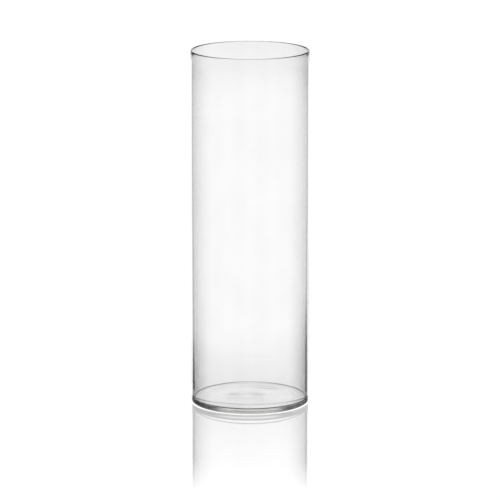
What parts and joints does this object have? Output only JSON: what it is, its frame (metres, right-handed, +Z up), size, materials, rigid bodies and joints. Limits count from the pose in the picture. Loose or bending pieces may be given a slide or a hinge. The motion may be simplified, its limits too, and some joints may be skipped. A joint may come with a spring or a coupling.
{
  "type": "glass cylinder vase",
  "caption": "Tall straight-sided clear glass cylinder vase with a fire-polished rim, an open mouth and a heavy base with a shallow hollow underneath.",
  "frame": {"origin": "middle of the plane the vase stands on, on the vessel's axis", "axes": "+Z up along the vessel's axis, towards the open mouth; X and Y are any two directions across it, because the vase is round"},
  "size_m": [0.1984, 0.1984, 0.6],
  "materials": {
    "clear_glass": "polished clear soda-lime glass with a faint grey-green tint in the thick edges"
  },
  "bodies": {
    "root": {"base": "clear_glass", "wall": "clear_glass", "rim": "clear_glass"}
  },
  "joints": []
}
